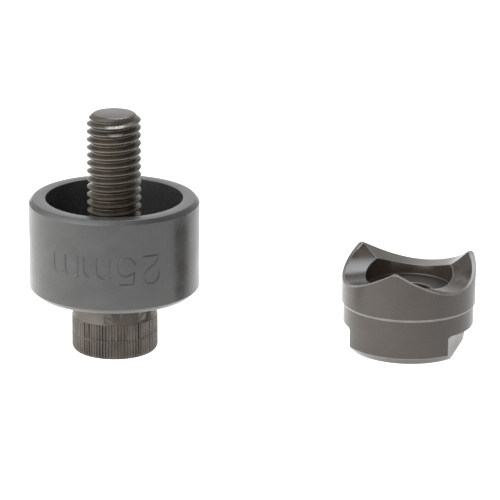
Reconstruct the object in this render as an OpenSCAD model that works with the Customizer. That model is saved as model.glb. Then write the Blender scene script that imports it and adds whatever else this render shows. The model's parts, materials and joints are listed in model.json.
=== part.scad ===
// Draw-type round hole punch set for sheet metal: a cup-shaped die and its hardened
// washer stand on a draw screw, and the three-toothed punch stands beside them, teeth up.
// The origin is on the screw's axis, on the plane that the set stands on, with +Z up
// and +X towards the punch.

/* [Draw screw] */
// Outside diameter of the thread
screw_d = 10; // [8:0.5:11]
// Pitch of the thread
screw_pitch = 1.5; // [1:0.25:2]
// Length of the screw under its head
screw_l = 35.4; // [33:0.1:60]
// Length of the plain neck between the head and the thread
neck_l = 4.5; // [2:0.5:6]
// Diameter of the plain neck
neck_d = 9.9; // [7.5:0.1:9.9]
// Diameter of the cap head
head_d = 16; // [14:0.5:17.5]
// Height of the cap head
head_h = 10; // [8:0.5:14]
// Radius of the rounded edge at the head's outer end
head_round = 1; // [0.4:0.1:1.5]
// Edge break where the head meets the washer
head_break = 0.3; // [0.1:0.1:0.8]
// Width of the hexagon socket across its flats
socket_af = 8; // [6:0.5:9]
// Depth of the hexagon socket to the start of its drill point
socket_depth = 5; // [3:0.5:6]
// Chamfer around the mouth of the socket
socket_break = 0.3; // [0.1:0.1:0.5]

/* [Thrust washer] */
// Outside diameter of the hardened washer between head and die
washer_d = 18; // [16:0.5:24]
// Thickness of the washer
washer_t = 1.5; // [1:0.1:3]
// Edge break around the washer
washer_break = 0.2; // [0.1:0.05:0.4]
// Radial clearance between the screw and the holes it passes through
shank_clear = 0.25; // [0.1:0.05:0.5]

/* [Die] */
// Outside diameter of the die
die_d = 31.6; // [31:0.2:40]
// Height of the die from its underside to its rim
die_h = 17.8; // [14:0.2:24]
// Thickness of the die's base
die_base_t = 6; // [4:0.5:8]
// Radial clearance between the punch and the die's bore
die_clear = 0.25; // [0.05:0.05:0.5]
// Chamfer around the outside of the rim
rim_chamfer = 0.75; // [0.3:0.05:1.2]
// Chamfer around the outside of the base
base_chamfer = 1; // [0.3:0.1:2]
// Edge break at the mouth of the bore
bore_break = 0.12; // [0.05:0.01:0.3]
// Radius in the corner of the cup's floor
cup_fillet = 0.8; // [0.3:0.1:2]
// Chamfer at both ends of the hole for the screw
hole_chamfer = 0.5; // [0.2:0.1:1]

/* [Punch body] */
// Diameter of the hole that the punch cuts
punch_d = 25; // [24:0.5:28]
// Height of the lower edge of the cutting land
land_z = 8.95; // [7:0.1:11]
// How far the body is turned down below the cutting land
land_relief = 0.3; // [0.1:0.05:0.6]
// Width of the body across its two spanner flats
flats_af = 18.8; // [17:0.1:21]
// Height of the spanner flats
flats_h = 5; // [3:0.1:6]
// Radius that the cutter leaves where a flat meets its shoulder
flats_fillet = 0.6; // [0.2:0.1:1]
// Chamfer around the punch's standing face
foot_chamfer = 1.35; // [0.5:0.05:1.8]
// Diameter of the round hollow inside the teeth
hollow_d = 16.3; // [14:0.1:17]
// Height of the hollow's floor at the edge of the tapped hole
floor_z = 11.05; // [10:0.05:12]
// Fall of the floor from its rim to the tapped hole
floor_fall = 0.55; // [0.1:0.05:0.8]
// Radius in the corner of the hollow's floor
hollow_fillet = 0.6; // [0.2:0.1:1]
// Chamfer at the standing end of the tapped hole
tap_chamfer = 0.85; // [0.3:0.05:1.2]

/* [Punch crown] */
// Number of teeth
teeth = 3; // [2:1:4]
// Height of the cutting edge at the bottom of a scallop
valley_z = 13.35; // [12.8:0.05:15]
// Height of the teeth above the bottoms of the scallops
tooth_h = 4.2; // [3:0.05:5]
// Radius of the wheel that grinds a scallop
scallop_r = 13.7; // [13:0.1:16]
// Radius of the larger wheel that grinds the bevel along the cutting edge
bevel_r = 30; // [25:1:60]
// Slope of that bevel at the bottom of a scallop
bevel_angle = 22; // [18:1:28]
// How far the bevel lowers the edge at the bottom of a scallop
bevel_drop = 0.2; // [0.05:0.01:0.3]

/* [Standing place of the punch] */
// Clear space between the die and the punch
stand_gap = 26.6; // [5:0.1:60]
// How far the punch stands back from the screw's axis
stand_back = 2.2; // [-10:0.1:10]
// Angle by which the standing punch is turned about its own axis
stand_turn = -15; // [-180:1:180]

/* [Hidden] */
$fn = 96;
over = 1;                                  // how far a cut runs past the face it opens

screw_r = screw_d / 2;
head_r = head_d / 2;
screw_tip_z = head_h + screw_l;
thread_z = head_h + neck_l;
thread_depth = 0.6134 * screw_pitch;       // depth of a metric thread
groove_root = screw_pitch / 6;             // width of the thread's root
groove_half = groove_root / 2 + thread_depth * tan(30);
turns = floor((screw_tip_z - thread_z - groove_half) / screw_pitch + 0.5);
tip_chamfer = thread_depth + 0.28;         // the tip is turned a little under the thread's root
socket_r = socket_af / 2 / cos(30);        // corner radius of the hexagon
socket_point_h = socket_r / tan(60);       // 120 degree drill point

hole_r = screw_r + shank_clear;            // plain hole in the washer and in the die
washer_z = head_h;                         // the washer lies on the head
die_z = washer_z + washer_t;               // the die stands on the washer
rim_z = die_z + die_h;
die_r = die_d / 2;
cup_z = die_z + die_base_t;

punch_r = punch_d / 2;
bore_r = punch_r + die_clear;              // the punch enters the die with this clearance
body_r = punch_r - land_relief;
hollow_r = hollow_d / 2;
tap_r = (screw_d - screw_pitch) / 2;       // core of the tapped hole
tip_z = valley_z + tooth_h;
valley_step = 360 / teeth;
first_tooth = -90;                         // one tooth points away from the line of the flats
punch_x = die_r + stand_gap + punch_r;

// Quarter arc of a profile, from angle a0 to a1 about [cx, cz]
function arc(cx, cz, r, a0, a1, steps = 8) =
    [for (i = [0:steps]) let (a = a0 + (a1 - a0) * i / steps) [cx + r * cos(a), cz + r * sin(a)]];

// Cap screw standing on the end of its head, with the threaded shank up
module draw_screw() {
    color([0.16, 0.15, 0.14])
    difference() {
        rotate_extrude()
            polygon(concat(
                [[0, 0]],
                arc(head_r - head_round, head_round, head_round, -90, 0),
                [
                    [head_r, head_h - head_break],
                    [head_r - head_break, head_h],
                    [neck_d / 2, head_h],
                    [neck_d / 2, thread_z],
                    [screw_r, thread_z + (screw_d - neck_d) / 2],
                    [screw_r, screw_tip_z - tip_chamfer],
                    [screw_r - tip_chamfer, screw_tip_z],
                    [0, screw_tip_z]
                ]));
        thread_grooves();
        key_socket();
    }
}

// The thread's grooves at their true pitch, depth and flank angle. Each turn is a closed
// ring, so that every face stays an exact cone.
module thread_grooves() {
    for (i = [0:turns - 1])
        translate([0, 0, screw_tip_z - (i + 0.5) * screw_pitch])
            rotate_extrude()
                polygon([
                    [screw_r - thread_depth, -groove_root / 2],
                    [screw_r, -groove_half],
                    [screw_r + over, -groove_half],
                    [screw_r + over, groove_half],
                    [screw_r, groove_half],
                    [screw_r - thread_depth, groove_root / 2]
                ]);
}

// Hexagon socket in the end of the head, with its drill point and chamfered mouth
module key_socket() {
    translate([0, 0, -over])
        cylinder(h = socket_depth + over, r = socket_r, $fn = 6);
    translate([0, 0, socket_depth])
        rotate_extrude()
            polygon([[0, 0], [socket_af / 2, 0], [0, socket_point_h]]);
    rotate_extrude()
        polygon([
            [0, -over],
            [socket_r + over, -over],
            [socket_r, 0],
            [socket_r - socket_break, socket_break],
            [0, socket_break]
        ]);
}

// Hardened washer that the head turns against
module thrust_washer() {
    color([0.24, 0.24, 0.25])
    rotate_extrude()
        polygon([
            [hole_r, washer_z + washer_break],
            [hole_r + washer_break, washer_z],
            [washer_d / 2 - washer_break, washer_z],
            [washer_d / 2, washer_z + washer_break],
            [washer_d / 2, die_z - washer_break],
            [washer_d / 2 - washer_break, die_z],
            [hole_r + washer_break, die_z],
            [hole_r, die_z - washer_break]
        ]);
}

// Cup with a plain hole in its base for the screw; its rim bears on the sheet
module die() {
    color([0.20, 0.20, 0.20])
    rotate_extrude()
        polygon(concat(
            [
                [hole_r, die_z + hole_chamfer],
                [hole_r + hole_chamfer, die_z],
                [die_r - base_chamfer, die_z],
                [die_r, die_z + base_chamfer],
                [die_r, rim_z - rim_chamfer],
                [die_r - rim_chamfer, rim_z],
                [bore_r + bore_break, rim_z],
                [bore_r, rim_z - bore_break]
            ],
            arc(bore_r - cup_fillet, cup_z + cup_fillet, cup_fillet, 0, -90),
            [
                [hole_r + hole_chamfer, cup_z],
                [hole_r, cup_z - hole_chamfer]
            ]));
}

// Turned blank of the punch, before its crown and flats are ground
module punch_blank() {
    rotate_extrude()
        polygon(concat(
            [
                [tap_r, tap_chamfer],
                [tap_r + tap_chamfer, 0],
                [body_r - foot_chamfer, 0],
                [body_r, foot_chamfer],
                [body_r, land_z - land_relief],
                [punch_r, land_z],
                [punch_r, tip_z],
                [hollow_r, tip_z]
            ],
            arc(hollow_r - hollow_fillet, floor_z + floor_fall + hollow_fillet, hollow_fillet, 0, -90),
            [[tap_r, floor_z]]));
}

// What the wheels take out between two teeth: a round trough along +X, and along its outer
// edge the shallow trough of a larger wheel, which falls outwards and leaves the bevel
module scallop_cut() {
    translate([0, 0, valley_z + scallop_r])
        rotate([0, 90, 0])
            cylinder(h = punch_r + over, r = scallop_r);
    translate([punch_r, 0, valley_z - bevel_drop])
        rotate([0, bevel_angle, 0])
            translate([-punch_r, 0, bevel_r])
                rotate([0, 90, 0])
                    cylinder(h = punch_r + 2 * over, r = bevel_r);
}

// What the cutter takes off one side for a spanner flat, with its rounded inner corner
module flat_cut() {
    translate([flats_af / 2, 0, 0])
        rotate([90, 0, 0])
            translate([0, 0, -punch_r])
                linear_extrude(punch_d)
                    polygon(concat(
                        [
                            [0, -over],
                            [punch_r, -over],
                            [punch_r, flats_h]
                        ],
                        arc(flats_fillet, flats_h - flats_fillet, flats_fillet, 90, 180)));
}

// Punch standing teeth up: scalloped crown, hollow, tapped hole and two spanner flats
module punch() {
    color([0.19, 0.19, 0.19])
    translate([punch_x, stand_back, 0])
        rotate([0, 0, stand_turn])
            difference() {
                punch_blank();
                for (i = [0:teeth - 1])
                    rotate([0, 0, first_tooth + (i + 0.5) * valley_step])
                        scallop_cut();
                for (side = [0, 180])
                    rotate([0, 0, side])
                        flat_cut();
            }
}

draw_screw();
thrust_washer();
die();
punch();
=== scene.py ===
# %% [markdown]
# # A round hole punch for sheet metal
# The tool has four pieces. A cup-shaped die and its hardened washer stand on the head of a
# draw screw, and a punch with three ground teeth stands beside them. All four are small
# turned steel parts, blackened in hot salts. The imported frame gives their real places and
# sizes, so every piece made here is put straight into that frame, in metres.

# %% Load the frame
import json
import math

import bmesh
import bpy
from mathutils import Matrix, Vector


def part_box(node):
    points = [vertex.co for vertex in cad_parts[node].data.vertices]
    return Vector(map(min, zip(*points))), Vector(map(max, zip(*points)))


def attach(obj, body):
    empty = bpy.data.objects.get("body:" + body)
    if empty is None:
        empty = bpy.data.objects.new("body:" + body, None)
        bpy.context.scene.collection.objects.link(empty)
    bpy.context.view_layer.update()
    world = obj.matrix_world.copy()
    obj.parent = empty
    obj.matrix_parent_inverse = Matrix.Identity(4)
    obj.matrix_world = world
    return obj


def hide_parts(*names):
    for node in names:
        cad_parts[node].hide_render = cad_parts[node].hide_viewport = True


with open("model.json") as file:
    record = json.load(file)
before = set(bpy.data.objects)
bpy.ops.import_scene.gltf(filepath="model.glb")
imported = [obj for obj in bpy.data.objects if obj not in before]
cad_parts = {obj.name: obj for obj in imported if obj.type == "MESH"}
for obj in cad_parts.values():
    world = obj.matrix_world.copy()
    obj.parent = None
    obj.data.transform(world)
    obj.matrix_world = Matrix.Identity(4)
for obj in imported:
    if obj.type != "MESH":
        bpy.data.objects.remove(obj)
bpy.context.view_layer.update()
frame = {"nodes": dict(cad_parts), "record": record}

print("frame nodes:", sorted(frame["nodes"]))

# %% Places that the frame gives
MM = 0.001
mounts = {mount["name"]: mount for mount in frame["record"]["mounts"]}
punch_x, punch_y, _ = mounts["punch_thread"]["pos_m"]
flat_out_x, flat_out_y, _ = mounts["spanner_flat_outer"]["axis"]
punch_turn = math.atan2(flat_out_y, flat_out_x)
die_low, die_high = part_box("die")
_, screw_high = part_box("draw_screw")
_, punch_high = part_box("punch")
die_r = die_high.x
turn_degrees = math.degrees(punch_turn)
print(f"punch stands at x {punch_x / MM:.1f} mm, turned by {turn_degrees:.0f} degrees")

# %% [markdown]
# ## The camera
# A product shot of small tools is taken with a long lens from a little over half a metre, so
# that the round parts keep their shape. The camera looks down by about 17 degrees, which shows
# the inside of the cup and the three teeth at once. It is aimed by three directions, forward,
# right and up, because that needs no constraint and leaves a plain camera behind.

# %% Camera
look_at = Vector((25.17, 0, 19.23)) * MM
camera_distance = 633.3 * MM
camera_pitch = math.radians(17.49)
camera_roll = math.radians(0.376)

camera_data = bpy.data.cameras.new("camera")
camera_data.lens = 245.5
camera_data.clip_start = 0.05
camera_data.clip_end = 20
camera = bpy.data.objects.new("camera", camera_data)
bpy.context.scene.collection.objects.link(camera)
bpy.context.scene.camera = camera

forward = Vector((0, math.cos(camera_pitch), -math.sin(camera_pitch)))
level_up = Vector((0, math.sin(camera_pitch), math.cos(camera_pitch)))
right = math.cos(camera_roll) * Vector((1, 0, 0)) + math.sin(camera_roll) * level_up
up = right.cross(forward)
turn = Matrix((right, up, -forward)).transposed().to_4x4()
camera.matrix_world = Matrix.Translation(look_at - camera_distance * forward) @ turn

# %% [markdown]
# ## The studio
# Blackened steel has almost no colour of its own: it shows what stands around it. So the
# studio is part of the finish. The tools stand on a lit white table, which lights the walls
# from below and leaves no shadow. Around it the room is dim, with some soft glows, the largest
# on the left. Each is a smooth lobe of light about its own direction. One soft box hangs
# above and behind the table, so that the ground troughs of the punch mirror it.

# %% Lit table
bpy.ops.object.select_all(action="DESELECT")
bpy.ops.mesh.primitive_plane_add(size=6, location=(0, 0, 0))
floor = bpy.context.object
floor.name = "studio_floor"
floor_paint = bpy.data.materials.new("pale_floor")
floor_paint.use_nodes = True
table = floor_paint.node_tree
floor_shader = table.nodes["Principled BSDF"]
floor_shader.inputs["Base Color"].default_value = (0.4, 0.4, 0.4, 1)
floor_shader.inputs["Roughness"].default_value = 0.9
floor_shader.inputs["Specular IOR Level"].default_value = 0.1
floor_shader.inputs["Emission Color"].default_value = (1.0, 0.99, 0.965, 1)
# The table glows more on the left, and most of all near the screw's axis.
table_glow = 0.9
left_glow, left_from, left_to = 0.62, -0.15, 0.0
near_glow, near_from, near_to = 0.56, 0.03, 0.09
floor_place = table.nodes.new("ShaderNodeTexCoord")
floor_parts = table.nodes.new("ShaderNodeSeparateXYZ")
table.links.new(floor_place.outputs["Object"], floor_parts.inputs[0])
from_screw = table.nodes.new("ShaderNodeVectorMath")
from_screw.operation = "LENGTH"
table.links.new(floor_place.outputs["Object"], from_screw.inputs[0])


def glow_along(value, full_at, none_at, strength, base):
    """Adds strength where value is near full_at, and nothing past none_at."""
    ramp = table.nodes.new("ShaderNodeMapRange")
    ramp.interpolation_type = "SMOOTHSTEP"
    ramp.inputs["From Min"].default_value = min(full_at, none_at)
    ramp.inputs["From Max"].default_value = max(full_at, none_at)
    ramp.inputs["To Min"].default_value = strength if full_at < none_at else 0
    ramp.inputs["To Max"].default_value = 0 if full_at < none_at else strength
    table.links.new(value, ramp.inputs["Value"])
    total = table.nodes.new("ShaderNodeMath")
    total.operation = "ADD"
    table.links.new(ramp.outputs["Result"], total.inputs[0])
    if isinstance(base, float):
        total.inputs[1].default_value = base
    else:
        table.links.new(base, total.inputs[1])
    return total.outputs[0]


glow = glow_along(floor_parts.outputs["X"], left_from, left_to, left_glow, table_glow)
glow = glow_along(from_screw.outputs["Value"], near_from, near_to, near_glow, glow)
table.links.new(glow, floor_shader.inputs["Emission Strength"])
floor.data.materials.append(floor_paint)

# %% Soft glows of the room
WARM, PLAIN, COOL = (1.06, 1.0, 0.91), (1.0, 1.0, 1.0), (0.93, 1.0, 1.08)
# Each glow: its azimuth and elevation in degrees, how narrow it is, its strength and tint.
GLOWS = (
    (45, 12, 8, 0.61, WARM), (90, 12, 8, 1.09, PLAIN), (135, 12, 8, 0.28, PLAIN),
    (180, 12, 8, 2.39, WARM), (225, 12, 8, 2.88, WARM), (270, 12, 8, 0.51, PLAIN),
    (315, 12, 8, 1.26, WARM), (180, 42, 8, 0.88, PLAIN), (225, 42, 8, 2.98, COOL),
    (270, 42, 8, 0.31, PLAIN), (45, 50, 30, 0.5, COOL), (110, 32, 30, 0.30, PLAIN),
    (210, 70, 8, 1.15, PLAIN), (270, 70, 8, 0.30, PLAIN))
world = bpy.data.worlds.new("studio")
bpy.context.scene.world = world
world.use_nodes = True
sky = world.node_tree
sky.nodes.clear()


def sky_step(operation, *values):
    """A vector math node of the room, fed with links or plain values."""
    step = sky.nodes.new("ShaderNodeVectorMath")
    step.operation = operation
    for socket, value in zip([i for i in step.inputs if i.enabled], values):
        if isinstance(value, bpy.types.NodeSocket):
            sky.links.new(value, socket)
        else:
            socket.default_value = value
    return step.outputs["Value" if operation == "DOT_PRODUCT" else "Vector"]


direction = sky.nodes.new("ShaderNodeTexCoord")
ahead = sky_step("NORMALIZE", direction.outputs["Generated"])
light = None
for azimuth, elevation, narrow, strength, tint in GLOWS:
    around, above = math.radians(azimuth), math.radians(elevation)
    axis = (math.cos(above) * math.cos(around), math.cos(above) * math.sin(around),
            math.sin(above))
    lobe = sky.nodes.new("ShaderNodeMath")
    lobe.operation = "POWER"
    lobe.use_clamp = True
    lobe.inputs[1].default_value = narrow
    facing = sky.nodes.new("ShaderNodeMath")
    facing.operation = "MAXIMUM"
    sky.links.new(sky_step("DOT_PRODUCT", ahead, axis), facing.inputs[0])
    facing.inputs[1].default_value = 0
    sky.links.new(facing.outputs[0], lobe.inputs[0])
    tinted = sky.nodes.new("ShaderNodeVectorMath")
    tinted.operation = "SCALE"
    tinted.inputs[0].default_value = [strength * part for part in tint]
    sky.links.new(lobe.outputs[0], tinted.inputs["Scale"])
    glow = tinted.outputs["Vector"]
    light = sky_step("ADD", light, glow) if light else glow
print(len(GLOWS), "soft glows")

# %% White behind the table
room = sky.nodes.new("ShaderNodeBackground")
sky.links.new(light, room.inputs["Color"])
backdrop = sky.nodes.new("ShaderNodeBackground")
backdrop.inputs["Color"].default_value = (1, 1, 1, 1)
seen = sky.nodes.new("ShaderNodeLightPath")
either = sky.nodes.new("ShaderNodeMixShader")
out = sky.nodes.new("ShaderNodeOutputWorld")
sky.links.new(seen.outputs["Is Camera Ray"], either.inputs["Fac"])
sky.links.new(room.outputs[0], either.inputs[1])
sky.links.new(backdrop.outputs[0], either.inputs[2])
sky.links.new(either.outputs[0], out.inputs["Surface"])
bpy.context.scene.view_settings.view_transform = "Standard"

# %% Soft box
box_place, box_size, box_radiance = Vector((0.078, 0.367, 0.706)), 0.39, 6.0
box_data = bpy.data.lights.new("soft_box", "AREA")
box_data.size = box_size
box_data.color = (0.94, 1.0, 1.07)
box_data.energy = box_radiance * math.pi * box_size ** 2
soft_box = bpy.data.objects.new("soft_box", box_data)
bpy.context.scene.collection.objects.link(soft_box)
soft_box.location = box_place
soft_box.rotation_euler = (-box_place).to_track_quat("-Z", "Y").to_euler()
print(f"soft box of {box_data.energy:.1f} W")

# %% [markdown]
# ## Bench tools
# A few small helpers do what the hands do: clear the selection, pick vertices by their place,
# turn a profile on a lathe, and carve one body with another.

# %% Selection
def clear_selection():
    """Nothing selected, in object mode."""
    if bpy.context.object and bpy.context.object.mode != "OBJECT":
        bpy.ops.object.mode_set(mode="OBJECT")
    bpy.ops.object.select_all(action="DESELECT")


def pick(piece):
    """Only this piece selected and active."""
    clear_selection()
    piece.select_set(True)
    bpy.context.view_layer.objects.active = piece


def pick_vertices(piece, wanted):
    """In edit mode, selects just the vertices for which wanted(place) holds."""
    pick(piece)
    bpy.ops.object.mode_set(mode="EDIT")
    bpy.ops.mesh.select_mode(type="VERT")
    bpy.ops.mesh.select_all(action="DESELECT")
    mesh = bmesh.from_edit_mesh(piece.data)
    for vertex in mesh.verts:
        vertex.select = wanted(vertex.co)
    mesh.select_flush_mode()
    bmesh.update_edit_mesh(piece.data)


# %% Profiles
MERGE = 1e-6


def arc(centre_r, centre_z, radius, start, end, steps):
    """Points of a quarter-round or part of one, as (distance from the axis, height)."""
    angles = [math.radians(start + (end - start) * i / steps) for i in range(steps + 1)]
    return [(centre_r + radius * math.cos(a), centre_z + radius * math.sin(a)) for a in angles]


def eased(corners):
    """Profile points from corners (r, z, ease): each eased corner becomes a small round."""
    points = []
    for i, (r, z, ease) in enumerate(corners):
        here = Vector((r, z))
        if not ease:
            points.append((r, z))
            continue
        before = Vector(corners[i - 1][:2]) - here
        after = Vector(corners[(i + 1) % len(corners)][:2]) - here
        start = here + before.normalized() * ease
        end = here + after.normalized() * ease
        middle = here * 0.5 + (start + end) * 0.25
        points += [tuple(start), tuple(middle), tuple(end)]
    return points


def draw_line(name, points, closed=False):
    """A chain of edges in the plane y = 0: one vertex, extruded from point to point."""
    clear_selection()
    bpy.ops.mesh.primitive_plane_add(size=MM, location=(0, 0, 0))
    line = bpy.context.object
    line.name = line.data.name = name
    bpy.ops.object.mode_set(mode="EDIT")
    bpy.ops.mesh.merge(type="CENTER")
    x, z = points[0]
    bpy.ops.transform.translate(value=(x, 0, z))
    for next_x, next_z in points[1:] + (points[:1] if closed else []):
        step = {"value": (next_x - x, 0, next_z - z)}
        bpy.ops.mesh.extrude_region_move(TRANSFORM_OT_translate=step)
        x, z = next_x, next_z
    bpy.ops.mesh.select_all(action="SELECT")
    return line


# %% Lathe
def close_up(piece):
    """Merges doubles and points the faces outwards, then leaves edit mode."""
    bpy.ops.mesh.select_all(action="SELECT")
    bpy.ops.mesh.remove_doubles(threshold=MERGE)
    bpy.ops.mesh.normals_make_consistent(inside=False)
    bpy.ops.object.mode_set(mode="OBJECT")


def lathe(name, profile, sides, closed=False):
    """Turns a profile of (r, z) points about the z axis."""
    turned = draw_line(name, profile, closed)
    bpy.ops.mesh.spin(steps=sides, angle=math.tau, center=(0, 0, 0), axis=(0, 0, 1))
    close_up(turned)
    return turned


# %% Carving
SHARP_FROM = math.radians(40)


def carve(piece, cutter, operation="DIFFERENCE"):
    """Cuts, joins or trims piece with cutter, and takes the cutter away."""
    step = piece.modifiers.new(operation.lower(), "BOOLEAN")
    step.operation = operation
    step.solver = "EXACT"
    step.object = cutter
    pick(piece)
    bpy.ops.object.modifier_apply(modifier=step.name)
    bpy.data.objects.remove(cutter)


def smooth(piece):
    """Smooth shading: edges over 40 degrees stay sharp, and wide faces keep their direction.

    It also counts the torn edges, those without two faces, so that a bad build shows in the log.
    """
    pick(piece)
    bpy.ops.object.mode_set(mode="EDIT")
    bpy.ops.mesh.select_all(action="SELECT")
    bpy.ops.mesh.remove_doubles(threshold=MERGE)
    bpy.ops.object.mode_set(mode="OBJECT")
    bpy.ops.object.shade_smooth_by_angle(angle=SHARP_FROM, keep_sharp_edges=True)
    weigh = piece.modifiers.new("weigh", "WEIGHTED_NORMAL")
    weigh.mode = "FACE_AREA"
    weigh.weight = 100
    weigh.keep_sharp = True
    bpy.ops.object.modifier_apply(modifier=weigh.name)
    shape = bmesh.new()
    shape.from_mesh(piece.data)
    torn = sum(len(edge.link_faces) != 2 for edge in shape.edges)
    volume = shape.calc_volume() / MM ** 3
    print(f"{piece.name}: {len(shape.faces)} faces, {torn} torn edges, {volume:.0f} mm3")
    shape.free()


# %% [markdown]
# ## Threads
# A screw thread is one V-shaped turn repeated along a helix. The Screw modifier does just
# that: it turns the outline of one pitch and lifts it by one pitch a turn. The crest is flat
# and the root is round, as on a rolled thread. The open ends are cut level by two bisecting
# planes, which also cap them. A cap can leave a sliver open at its rim, and carving needs a
# closed body, so any open triangle is filled. The result is a solid rod that can be joined to
# a head or used as a tap.

# %% Thread
pitch = 1.5 * MM
# From root to crest: the share of the thread's depth, and the share of its pitch.
RISING_FLANK = ((0, 0.0), (0.035, 0.075), (0.13, 0.125), (0.90, 0.395), (1.0, 0.435))
spare_turns = 6


def thread_outline(crest_r, root_r):
    """One turn's outline: up from root to crest, then back down to the next root."""
    rise = crest_r - root_r
    there = [(root_r + rise * share, pitch * height) for share, height in RISING_FLANK]
    back = [(r, pitch - z) for r, z in reversed(there)]
    return there + back


def threaded_rod(name, crest_r, root_r, low_z, high_z, start_z, sides=96):
    """A right-hand threaded rod on the z axis. start_z is a crest's height on the +X side."""
    rod = draw_line(name, thread_outline(crest_r, root_r))
    bpy.ops.object.mode_set(mode="OBJECT")
    turns = math.ceil((high_z - low_z) / pitch) + spare_turns
    coil = rod.modifiers.new("coil", "SCREW")
    coil.axis = "Z"
    coil.angle = math.tau
    coil.screw_offset = pitch
    coil.iterations = turns
    coil.steps = coil.render_steps = sides
    coil.use_merge_vertices = True
    coil.merge_threshold = MERGE
    coil.use_smooth_shade = False
    pick(rod)
    bpy.ops.object.modifier_apply(modifier=coil.name)
    below = math.ceil((start_z - low_z) / pitch + 2) * pitch
    rod.data.transform(Matrix.Translation((0, 0, start_z - pitch / 2 - below)))
    bpy.ops.object.mode_set(mode="EDIT")
    for height, keep_above in ((low_z, True), (high_z, False)):
        bpy.ops.mesh.select_all(action="SELECT")
        bpy.ops.mesh.bisect(
            plane_co=(0, 0, height), plane_no=(0, 0, 1), use_fill=True, threshold=MERGE / 10,
            clear_inner=keep_above, clear_outer=not keep_above)
    bpy.ops.mesh.select_all(action="SELECT")
    bpy.ops.mesh.remove_doubles(threshold=MERGE)
    bpy.ops.mesh.select_all(action="DESELECT")
    bpy.ops.mesh.select_non_manifold(extend=False)
    bpy.ops.mesh.fill_holes(sides=3)
    close_up(rod)
    return rod


# %% [markdown]
# ## Engraved marks
# The die carries the size of the hole that it makes, and the screw's head its standard
# strength. Both are cut by an engraving machine whose round tool follows single strokes. Here
# each stroke is a line of points in a flat drawing, wrapped round the wall. A thin tube along
# it is the path of the tool, and the tubes are carved out of the wall. The set stands on the
# screw's head, upside down, and so are the marks.

# %% Strokes
def flowing(points, steps=4):
    """A smooth curve through the points: each gap gets a few points between (Catmull-Rom)."""
    ends = [points[0]] + points + [points[-1]]
    curve = [points[0]]
    for p0, p1, p2, p3 in zip(ends, ends[1:], ends[2:], ends[3:]):
        for i in range(1, steps + 1):
            t = i / steps
            curve.append(tuple(
                b + 0.5 * t * (c - a + t * (2 * a - 5 * b + 4 * c - d + t * (3 * (b - c) + d - a)))
                for a, b, c, d in zip(p0, p1, p2, p3)))
    return curve


# Each glyph is drawn one unit high from the origin, as one or more strokes.
GLYPHS = {
    "1": [[(0.0, 0.78), (0.24, 1.0), (0.24, 0.0)]],
    "2": [flowing([(0.0, 0.60), (0.0, 0.77), (0.13, 0.96), (0.33, 1.0), (0.50, 0.92),
                   (0.57, 0.74), (0.54, 0.60), (0.41, 0.46), (0.24, 0.34), (0.10, 0.21),
                   (0.04, 0.10), (0.02, 0.0)]),
          [(0.0, 0.0), (0.63, -0.01)]],
    "5": [[(0.58, 0.98), (0.10, 0.98)] + flowing([
        (0.05, 0.56), (0.25, 0.66), (0.40, 0.67), (0.56, 0.56), (0.63, 0.37),
        (0.60, 0.16), (0.49, 0.03), (0.30, 0.0), (0.13, 0.08), (0.0, 0.26)])],
    "9": [flowing([(0.37, 0.48), (0.26, 0.45), (0.12, 0.52), (0.02, 0.72), (0.12, 0.93),
                   (0.30, 1.0), (0.48, 0.90), (0.54, 0.66), (0.46, 0.30), (0.26, 0.02)])],
    ".": [[(0.0, 0.02), (0.05, 0.05)]],
    "m": [[(0.0, 0.76), (0.0, 0.0)],
          flowing([(0.03, 0.62), (0.12, 0.72), (0.26, 0.75), (0.40, 0.66), (0.455, 0.48),
                   (0.46, 0.0)]),
          flowing([(0.50, 0.60), (0.62, 0.72), (0.76, 0.73), (0.88, 0.62), (0.925, 0.46),
                   (0.93, 0.0)])],
}


def engrave(piece, marks, height, wall_r, base_z, tool_r, depth):
    """Cuts glyphs into a round wall, upside down.

    Each of the marks is a glyph, its start in degrees and its stretch.
    """
    path_r = wall_r + tool_r - depth
    for glyph, start, stretch in marks:
        for stroke in GLYPHS[glyph]:
            tool_path = bpy.data.curves.new("tool_path", "CURVE")
            tool_path.dimensions = "3D"
            tool_path.bevel_depth = tool_r
            tool_path.bevel_resolution = 2
            tool_path.use_fill_caps = True
            spline = tool_path.splines.new("POLY")
            spline.points.add(len(stroke) - 1)
            for point, (x, y) in zip(spline.points, stroke):
                angle = math.radians(start) - x * stretch * height / wall_r
                point.co = (path_r * math.cos(angle), path_r * math.sin(angle),
                            base_z - y * height, 1)
            tool = bpy.data.objects.new("tool", tool_path)
            bpy.context.scene.collection.objects.link(tool)
            pick(tool)
            bpy.ops.object.convert(target="MESH")
            bpy.ops.object.mode_set(mode="EDIT")
            close_up(bpy.context.object)
            carve(piece, bpy.context.object)
    print("engraved", "".join(mark[0] for mark in marks), "on", piece.name)


# %% [markdown]
# ## Draw screw
# The draw screw is a cap screw. Its head has a knurled side, so that it can be run in with the
# fingers, and a hexagon socket for the key. The shank is threaded from under the head to a
# chamfered tip. It is made as in a workshop: the thread is rolled on a rod, the rod is trimmed
# to the chamfered envelope, and the head and neck are turned and joined to it.

# %% Screw shank
crest_r = 5.0 * MM
root_r = 4.1 * MM
screw_top = screw_high.z
tip_r = 3.85 * MM
tip_cone = 1.15 * MM
neck_top = 14.5 * MM
crest_start = 30.68 * MM

screw = threaded_rod(
    "screw_threaded", crest_r, root_r, neck_top - 0.6 * MM, screw_top + MM, crest_start)
# The envelope is much wider than the thread, so that only its cone and top touch the rod.
wide_r = 7 * MM
cone_low = screw_top - (wide_r - tip_r) * tip_cone / (crest_r - tip_r)
tip_ease = 0.3 * MM
envelope_sides = 190
envelope = lathe("tip_envelope", eased([
    (0, 0, 0), (wide_r, 0, 0), (wide_r, cone_low, 0), (tip_r, screw_top, tip_ease),
    (0, screw_top, 0)]), envelope_sides)
carve(screw, envelope, "INTERSECT")

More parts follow.
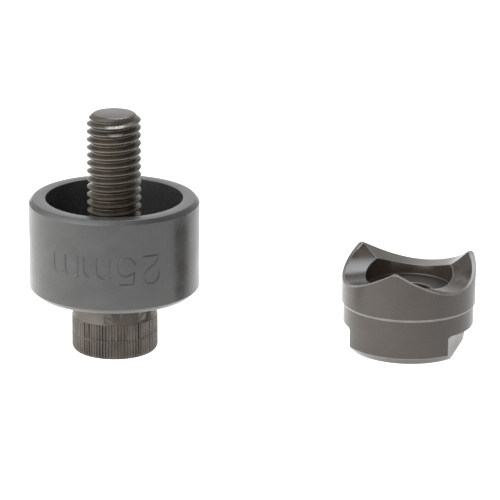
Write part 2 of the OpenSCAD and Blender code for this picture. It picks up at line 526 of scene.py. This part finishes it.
# %% Screw head
head_r = 8.0 * MM
head_h = 10.0 * MM
head_round = 1.0 * MM
band_r = 7.93 * MM
neck_r = 4.95 * MM
knurl_teeth = 88
knurl_depths = (0.2 * MM, 0.28 * MM, 0.24 * MM, 0.3 * MM)
knurl_bands = ((0.2 * MM, 3.5 * MM), (3.75 * MM, 6.85 * MM))
fade = 0.14 * MM


def band_rings(low, high):
    """The four rings of a knurled band: it starts and ends by a short fade."""
    return [(head_r, low), (head_r, low + fade), (head_r, high - fade), (head_r, high)]


head_corner = arc(head_r - head_round, head_round, head_round, -90, -5, 7)
(_, groove_low), (groove_high, knurl_high) = knurl_bands
head = lathe("screw_head", [
    (0, 0), *head_corner, *band_rings(head_round, groove_low),
    (band_r, groove_low + 0.06 * MM), (band_r, groove_high - 0.06 * MM),
    *band_rings(groove_high, knurl_high), (band_r, knurl_high + 0.1 * MM),
    (band_r, head_h - 0.3 * MM), (band_r - 0.1 * MM, head_h - 0.1 * MM),
    (band_r - 0.3 * MM, head_h), (neck_r + 0.4 * MM, head_h),
    (neck_r + 0.12 * MM, head_h + 0.12 * MM), (neck_r, head_h + 0.4 * MM),
    (neck_r, neck_top - 0.3 * MM), (root_r, neck_top), (0, neck_top)],
    4 * knurl_teeth)


# The grooves of the knurl have four depths in a mixed order, because a roller presses unevenly.
def in_a_groove(place, kind):
    """True for the two low vertices of each tooth of this kind, between a band's fades."""
    tooth = math.atan2(place.y, place.x) / math.tau * knurl_teeth
    its_kind = math.floor(tooth) * 7 // 3 % len(knurl_depths)
    low_side = 0.4 < tooth % 1 < 0.9 and its_kind == kind
    inside = any(low + fade / 2 < place.z < high - fade / 2 for low, high in knurl_bands)
    return low_side and inside and math.hypot(place.x, place.y) > head_r - 0.7 * head_round


for kind, knurl_depth in enumerate(knurl_depths):
    pick_vertices(head, lambda place: in_a_groove(place, kind))
    sink = 1 - knurl_depth / head_r
    bpy.ops.transform.resize(value=(sink, sink, 1), center_override=(0, 0, 0))
bpy.ops.object.mode_set(mode="OBJECT")

# %% Strength mark on the head
strength_marks = [("1", -26, 1), ("2", -42, 1.3), (".", -79, 1), ("9", -92, 1.2)]
engrave(head, strength_marks, height=2.0 * MM, wall_r=band_r, base_z=9.2 * MM,
        tool_r=0.14 * MM, depth=0.1 * MM)
carve(screw, head, "UNION")

# %% Hexagon socket
socket_r = 4.0 * MM / math.cos(math.radians(30))  # to the corners of an 8 mm hexagon
socket_depth = 5.0 * MM
clear_selection()
bpy.ops.mesh.primitive_cylinder_add(
    vertices=6, radius=socket_r, depth=2 * socket_depth, location=(0, 0, 0))
carve(screw, bpy.context.object)
drill_r = 3.9 * MM
drill_point = 2.25 * MM
mouth_ease = 0.3 * MM
drill_sides = 64
drill = lathe("socket_drill", [
    (0, -MM), (drill_r, -MM), (drill_r, socket_depth), (0, socket_depth + drill_point)],
    drill_sides)
carve(screw, drill)
mouth = lathe("socket_mouth", [
    (0, -MM), (socket_r + MM, -MM), (socket_r - mouth_ease, mouth_ease), (0, mouth_ease)],
    drill_sides)
carve(screw, mouth)
smooth(screw)

# %% [markdown]
# ## Die
# The die is a cup, turned from bar. Its ground rim bears on the sheet, and the inner edge of
# the rim is the lower blade that shears the sheet. It is drawn as a closed outline and spun
# about the screw's axis. Every outer corner gets a small ease, because a real edge is never
# quite sharp and shows as a thin line of light.

# %% Die body
rim_z = die_high.z
base_z = die_low.z
bore_r = 12.75 * MM
hole_r = 5.25 * MM
cup_floor = base_z + 6.0 * MM
rim_chamfer = 0.75 * MM
base_chamfer = 1.0 * MM
hole_chamfer = 0.5 * MM
cup_corner = 0.8 * MM
edge = 0.1 * MM
blade_edge = 0.08 * MM
die_sides = 576

die_outline = eased([
    (hole_r, base_z + hole_chamfer, 0), (hole_r + hole_chamfer, base_z, 0),
    (die_r - base_chamfer, base_z, edge), (die_r, base_z + base_chamfer, edge),
    (die_r, rim_z - rim_chamfer, edge), (die_r - rim_chamfer, rim_z, edge),
    (bore_r, rim_z, blade_edge)])
die_outline += arc(bore_r - cup_corner, cup_floor + cup_corner, cup_corner, 0, -90, 8)
die_outline += [(hole_r + hole_chamfer, cup_floor), (hole_r, cup_floor - hole_chamfer)]
die = lathe("die_engraved", die_outline, die_sides, closed=True)

# %% Size mark
size_marks = [("2", -56.9, 1), ("5", -73.4, 1), ("m", -90.6, 1), ("m", -112.6, 1.07)]
engrave(die, size_marks, height=5.2 * MM, wall_r=die_r, base_z=22.45 * MM,
        tool_r=0.2 * MM, depth=0.12 * MM)
smooth(die)

# %% [markdown]
# ## Punch
# The punch starts as a turned blank with a hollow. A grinding wheel passes across its end
# three times and leaves three round troughs, and what stands between them are the teeth. A
# larger wheel, leaning outwards, bevels the cutting edge after each pass. Two flats at the
# foot take a spanner. Each of these is a cutter carved out of the blank. Then the edges get a
# small bevel, and last the hole is tapped.

# %% Punch blank
punch_r = 12.5 * MM
body_r = 12.2 * MM
land_z = 8.95 * MM
hollow_r = 8.15 * MM
hollow_floor = 11.45 * MM
hollow_corner = 0.25 * MM
step_h = 0.3 * MM
tap_r = 4.25 * MM
tap_top = 11.05 * MM
tip_z = punch_high.z
foot_chamfer = 1.35 * MM
tap_chamfer = 0.85 * MM
punch_sides = 256

punch_outline = [
    (tap_r, tap_chamfer), (tap_r + tap_chamfer, 0), (body_r - foot_chamfer, 0),
    (body_r, foot_chamfer), (body_r, land_z - step_h), (punch_r, land_z),
    (punch_r, tip_z), (hollow_r, tip_z)]
punch_outline += arc(
    hollow_r - hollow_corner, hollow_floor + hollow_corner, hollow_corner, 0, -90, 6)
punch_outline += [(tap_r, tap_top)]
punch = lathe("punch_ground", punch_outline, punch_sides, closed=True)

# %% Teeth
valley_z = 13.35 * MM
wheel_r = 13.7 * MM
wheel_facets = 512
bevel_wheel_r = 30 * MM
bevel_wheel_facets = 1024
bevel_angle = math.radians(22)
bevel_drop = 0.2 * MM
teeth = 3
first_tooth = math.radians(-90)
lean = (Matrix.Translation((punch_r, 0, valley_z - bevel_drop))
        @ Matrix.Rotation(bevel_angle, 4, "Y"))


def wheel_places(i):
    """Where the two wheels pass between tooth i and the next: for the trough, for the bevel."""
    outwards = Matrix.Rotation(first_tooth + math.tau * (i + 0.5) / teeth, 4, "Z")
    return (outwards @ Matrix.Translation((0, 0, valley_z)),
            outwards @ lean @ Matrix.Translation((-punch_r, 0, 0)))


def grind(place, radius, reach, facets):
    """One pass of a wheel: a lying cylinder that starts at place and runs along its +X."""
    lying = (place @ Matrix.Translation((reach / 2, 0, radius))
             @ Matrix.Rotation(math.pi / 2, 4, "Y"))
    clear_selection()
    bpy.ops.mesh.primitive_cylinder_add(
        vertices=facets, radius=radius, depth=reach,
        location=lying.to_translation(), rotation=lying.to_euler())
    carve(punch, bpy.context.object)


for i in range(teeth):
    trough_place, bevel_place = wheel_places(i)
    grind(trough_place, wheel_r, punch_r + MM, wheel_facets)
    grind(bevel_place, bevel_wheel_r, punch_r + 2 * MM, bevel_wheel_facets)

# %% Spanner flats
flat_x = 9.4 * MM
flats_h = 5.0 * MM
corner_r = 0.6 * MM


def mill_flat(side):
    """A block with one rounded upper corner, beside the foot."""
    corner = arc(flat_x + corner_r, flats_h - corner_r, corner_r, 90, 180, 8)
    outline = [(flat_x, -MM), (punch_r + MM, -MM), (punch_r + MM, flats_h), *corner]
    cutter = draw_line("milling_cutter", outline, closed=True)
    bpy.ops.mesh.remove_doubles(threshold=MERGE)
    bpy.ops.mesh.edge_face_add()
    half_w = punch_r + 2 * MM
    bpy.ops.mesh.extrude_region_move(TRANSFORM_OT_translate={"value": (0, 2 * half_w, 0)})
    close_up(cutter)
    cutter.data.transform(Matrix.Rotation(side, 4, "Z") @ Matrix.Translation((0, -half_w, 0)))
    carve(punch, cutter)


mill_flat(0)
mill_flat(math.pi)

# %% Edges of the punch
# The punch has six materials, by slot. The slots are made first, because the bevel can give
# its own faces only a slot that is there.
BODY, EDGE_WEAR_AND_HIGHLIGHT, GROUND, BEVELLED, FLOOR, STEP = range(6)
crumb = 0.02 * MM
sharp_from, bevel_from = 14, 30
pick(punch)
bpy.ops.object.mode_set(mode="EDIT")
bpy.ops.mesh.select_all(action="SELECT")
bpy.ops.mesh.remove_doubles(threshold=crumb)
# Edges between the two angles are only shaded sharp. The sharper ones get the bevel.
bpy.ops.mesh.select_mode(type="EDGE")
for degrees, keeps in ((sharp_from, True), (bevel_from, False)):
    bpy.ops.mesh.select_all(action="DESELECT")
    bpy.ops.mesh.edges_select_sharp(sharpness=math.radians(degrees))
    bpy.ops.mesh.mark_sharp(clear=not keeps)
bpy.ops.object.mode_set(mode="OBJECT")
for _ in (BODY, EDGE_WEAR_AND_HIGHLIGHT, GROUND, BEVELLED, FLOOR, STEP):
    punch.data.materials.append(None)
ease = punch.modifiers.new("ease", "BEVEL")
ease.width = 0.11 * MM
ease.segments = 2
ease.limit_method = "ANGLE"
ease.angle_limit = math.radians(bevel_from)
ease.use_clamp_overlap = False
# The bevel's faces get the light edge material: partly wear of the oxide, partly a painted
# highlight along the edges.
ease.material = EDGE_WEAR_AND_HIGHLIGHT
pick(punch)
bpy.ops.object.modifier_apply(modifier=ease.name)

# %% Ground faces of the punch
# How near a wheel's surface the middle of a face has to be. The last is for the normals.
near_trough, near_bevel, near_either = 0.02 * MM, 0.01 * MM, 0.03 * MM


def nearness(place, inverse, radius):
    """How far a point lies from the surface that a wheel of this radius ground."""
    local = inverse @ place
    return abs(math.hypot(local.y, local.z - radius) - radius) if local.x > 0 else 1.0


for face in punch.data.polygons:
    # The step under the land gets a much lighter tone: a painted highlight, the light line of its
    # reflection of the table.
    in_step = land_z - step_h - 0.02 * MM < face.center.z < land_z + 0.01 * MM
    if in_step and face.normal.z < -0.3:
        face.material_index = STEP
    elif face.normal.z > 0.9 and abs(face.center.z - hollow_floor) < 0.5 * MM:
        face.material_index = FLOOR

for i in range(teeth):
    trough, bevel = (place.inverted() for place in wheel_places(i))
    for face in punch.data.polygons:
        if face.material_index != BODY:
            continue
        if nearness(face.center, trough, wheel_r) < near_trough:
            face.material_index = GROUND
        elif nearness(face.center, bevel, bevel_wheel_r) < near_bevel:
            face.material_index = BEVELLED

# %% Tapped hole
tap_play = 0.03 * MM
tap_start = 4.0 * MM
tap_sides = 72
tap = threaded_rod(
    "tap", crest_r + tap_play, root_r, -MM, tap_top + 2 * MM, tap_start, tap_sides)
carve(punch, tap)
stand = Matrix.Translation((punch_x, punch_y, 0)) @ Matrix.Rotation(punch_turn, 4, "Z")
punch.data.transform(stand)
smooth(punch)

# %% Exact normals of the ground faces
# A ground face is part of a wheel's cylinder, so its true normal points at the wheel's axis.
normals = [loop_normal.vector.copy() for loop_normal in punch.data.corner_normals]
loops, vertices = punch.data.loops, punch.data.vertices
for i in range(teeth):
    trough, bevel = (stand @ place for place in wheel_places(i))
    for kind, place, radius in ((GROUND, trough, wheel_r), (BEVELLED, bevel, bevel_wheel_r)):
        inverse = place.inverted()
        for face in punch.data.polygons:
            if face.material_index != kind:
                continue
            if nearness(face.center, inverse, radius) > near_either:
                continue
            for corner in face.loop_indices:
                local = inverse @ vertices[loops[corner].vertex_index].co
                toward = Vector((0, -local.y, radius - local.z))
                normals[corner] = (place.to_3x3() @ toward).normalized()
punch.data.normals_split_custom_set(normals)

# %% [markdown]
# ## Blackened steel
# Hot salts leave a thin black oxide on the steel, dark and a little glossy, like a stain under
# varnish. So the shader is not a metal but a dark body with a smooth reflecting skin. On it lie
# the marks of making: fine rings from turning, a slow cloudiness of the oxide, and grain. Where
# the oxide has rubbed through, bare metal shows, as a metallic part of the same shader.

# %% Steel materials
BARE = (0.42, 0.40, 0.37)
# How fine the turning rings, the clouds and the grain are, as scales of the noise.
RING_SCALE, CLOUD_SCALE, GRAIN_SCALE = 5200, 260, 3600
RELIEF = 0.02 * MM
ROUGHNESS_SWING = 0.05


def blackened_steel(name, tone, centre=(0, 0), gloss=0.5, roughness=0.27, rings=0.1,
                    cloud=0.25, specks=0.0, grain=0.0, worn_from=None, rubbed=None):
    """tone is the oxide's colour; the other numbers say how strong each mark of making is.

    worn_from is the radius where wear starts, where it is full, and how far it goes.
    rubbed is the middle of a rubbed patch on the thread's crests, and its radius.
    """
    steel = bpy.data.materials.new(name)
    steel.use_nodes = True
    tree = steel.node_tree
    shader = tree.nodes["Principled BSDF"]
    shader.inputs["Specular IOR Level"].default_value = gloss

    def node(kind, **settings):
        made = tree.nodes.new(kind)
        for key, value in settings.items():
            setattr(made, key, value)
        return made

    def ramp(value, from_min, from_max, to_min, to_max):
        made = node("ShaderNodeMapRange")
        for socket, number in zip(made.inputs[1:5], (from_min, from_max, to_min, to_max)):
            socket.default_value = number
        tree.links.new(value, made.inputs["Value"])
        return made.outputs["Result"]

    def noise(vector, scale, detail):
        made = node("ShaderNodeTexNoise", noise_dimensions="3D")
        made.inputs["Scale"].default_value = scale
        made.inputs["Detail"].default_value = detail
        tree.links.new(vector, made.inputs["Vector"])
        return made.outputs["Fac"]

    place = node("ShaderNodeTexCoord")
    centred = node("ShaderNodeMapping", vector_type="POINT")
    centred.inputs["Location"].default_value = (-centre[0], -centre[1], 0)
    tree.links.new(place.outputs["Object"], centred.inputs["Vector"])
    split = node("ShaderNodeSeparateXYZ")
    tree.links.new(centred.outputs["Vector"], split.inputs["Vector"])
    flat = node("ShaderNodeCombineXYZ")
    tree.links.new(split.outputs["X"], flat.inputs["X"])
    tree.links.new(split.outputs["Y"], flat.inputs["Y"])
    radius = node("ShaderNodeVectorMath", operation="LENGTH")
    tree.links.new(flat.outputs["Vector"], radius.inputs[0])
    turned = node("ShaderNodeCombineXYZ")
    tree.links.new(radius.outputs["Value"], turned.inputs["X"])
    tree.links.new(split.outputs["Z"], turned.inputs["Y"])

    lines = noise(turned.outputs["Vector"], RING_SCALE, 3)
    clouds = noise(centred.outputs["Vector"], CLOUD_SCALE, 5)
    fine = noise(centred.outputs["Vector"], GRAIN_SCALE, 3)

    colour = node("ShaderNodeVectorMath", operation="SCALE")
    colour.inputs[0].default_value = tone
    tree.links.new(ramp(clouds, 0.3, 0.7, 1 - cloud, 1 + cloud), colour.inputs["Scale"])
    # Bare metal shows in fine specks, along worn crests and in one rubbed patch.
    bare_spots = []
    if specks:
        bare_spots.append(ramp(fine, 0.62, 0.72, 0.0, specks))
    if worn_from:
        starts, full, most_wear = worn_from
        edge_wear = ramp(radius.outputs["Value"], starts, full, 0.0, most_wear)
        broken = node("ShaderNodeMath", operation="MULTIPLY")
        tree.links.new(edge_wear, broken.inputs[0])
        tree.links.new(ramp(fine, 0.35, 0.6, 0.3, 1.0), broken.inputs[1])
        bare_spots.append(broken.outputs[0])
    if rubbed:
        far = node("ShaderNodeVectorMath", operation="DISTANCE")
        tree.links.new(centred.outputs["Vector"], far.inputs[0])
        middle, reach = rubbed
        far.inputs[1].default_value = middle
        near = node("ShaderNodeMath", operation="MULTIPLY")
        inside = ramp(far.outputs["Value"], reach, 0.5 * reach, 0.0, 1.0)
        on_crest = ramp(radius.outputs["Value"], crest_r - 0.4 * MM, crest_r - 0.2 * MM, 0.0, 1.0)
        tree.links.new(inside, near.inputs[0])
        tree.links.new(on_crest, near.inputs[1])
        patch = node("ShaderNodeMath", operation="MULTIPLY")
        tree.links.new(near.outputs[0], patch.inputs[0])
        tree.links.new(ramp(fine, 0.35, 0.5, 0.4, 1.0), patch.inputs[1])
        bare_spots.append(patch.outputs[0])
    if bare_spots:
        wear = bare_spots[0]
        for spot in bare_spots[1:]:
            most = node("ShaderNodeMath", operation="MAXIMUM")
            tree.links.new(wear, most.inputs[0])
            tree.links.new(spot, most.inputs[1])
            wear = most.outputs[0]
        worn = node("ShaderNodeMix", data_type="RGBA")
        tree.links.new(wear, worn.inputs["Factor"])
        tree.links.new(colour.outputs["Vector"], worn.inputs["A"])
        worn.inputs["B"].default_value = (*BARE, 1)
        tree.links.new(worn.outputs["Result"], shader.inputs["Base Color"])
        tree.links.new(wear, shader.inputs["Metallic"])
    else:
        tree.links.new(colour.outputs["Vector"], shader.inputs["Base Color"])
    smoother, rougher = roughness - ROUGHNESS_SWING, roughness + ROUGHNESS_SWING
    tree.links.new(ramp(clouds, 0.3, 0.7, smoother, rougher), shader.inputs["Roughness"])

    normal = None
    for strength, height in ((rings, lines), (grain, fine)):
        if strength:
            bump = node("ShaderNodeBump")
            bump.inputs["Strength"].default_value = strength
            bump.inputs["Distance"].default_value = RELIEF
            tree.links.new(height, bump.inputs["Height"])
            if normal:
                tree.links.new(normal, bump.inputs["Normal"])
            normal = bump.outputs["Normal"]
    if normal:
        tree.links.new(normal, shader.inputs["Normal"])
    return steel


punch_axis = (punch_x, punch_y)
die_steel = blackened_steel(
    "die_black", (0.040, 0.040, 0.040), rings=0.35, cloud=0.12, grain=0.1)
punch_steel = blackened_steel(
    "punch_black", (0.031, 0.024, 0.019), punch_axis, gloss=0.56, rings=0.35, cloud=0.12,
    specks=0.04, grain=0.1)
# Lighter edge tone: partly wear of the oxide, partly a painted highlight along the eased edges.
punch_edge_wear_and_highlight = blackened_steel(
    "punch_worn_edge_and_highlight", (0.11, 0.105, 0.098), punch_axis, gloss=0.7, roughness=0.3)
punch_floor = blackened_steel(
    "punch_floor", (0.018, 0.015, 0.012), punch_axis, gloss=0.35, roughness=0.35, rings=0.0,
    cloud=0.6, specks=0.06, grain=0.9)
# A painted highlight: the step's light tone stands in for the table's reflection in it.
punch_step_highlight = blackened_steel("punch_step_highlight", (0.15, 0.14, 0.13), punch_axis, rings=0.0)
punch_ground = blackened_steel(
    "punch_ground", (0.030, 0.024, 0.019), punch_axis, gloss=0.42, roughness=0.2, rings=0.0,
    cloud=0.5, specks=0.08, grain=0.4)
punch_bevel = blackened_steel(
    "punch_bevel", (0.080, 0.074, 0.068), punch_axis, gloss=0.7, roughness=0.22, rings=0.0,
    cloud=0.3, grain=0.15)
head_steel = blackened_steel(
    "head_black", (0.034, 0.024, 0.016), gloss=0.7, roughness=0.36, rings=0.0, cloud=0.5,
    specks=0.2, grain=0.4)
rubbed_patch = ((0.5 * MM, -4.9 * MM, 43.9 * MM), 2.1 * MM)
screw_steel = blackened_steel(
    "screw_black", (0.028, 0.020, 0.013), gloss=0.66, roughness=0.3, rings=0.0, cloud=0.5,
    specks=0.1, grain=0.3, worn_from=(4.90 * MM, 5.0 * MM, 0.15), rubbed=rubbed_patch)
washer_steel = blackened_steel("washer_hard", (0.05, 0.05, 0.052), gloss=0.7, roughness=0.25)

# %% Dress the pieces
die.data.materials.append(die_steel)
punch_steels = {
    BODY: punch_steel, EDGE_WEAR_AND_HIGHLIGHT: punch_edge_wear_and_highlight, GROUND: punch_ground,
    BEVELLED: punch_bevel, FLOOR: punch_floor, STEP: punch_step_highlight}
for slot, steel in punch_steels.items():
    punch.data.materials[slot] = steel
for steel in (screw_steel, head_steel):
    screw.data.materials.append(steel)
for face in screw.data.polygons:
    face.material_index = int(face.center.z < neck_top)
washer = frame["nodes"]["thrust_washer"]
washer.data.materials.clear()
washer.data.materials.append(washer_steel)

# %% Seat every piece on its body
for piece, node_name in ((screw, "draw_screw"), (die, "die"), (punch, "punch")):
    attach(piece, node_name)
    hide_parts(node_name)

# %% Clear the selection
clear_selection()
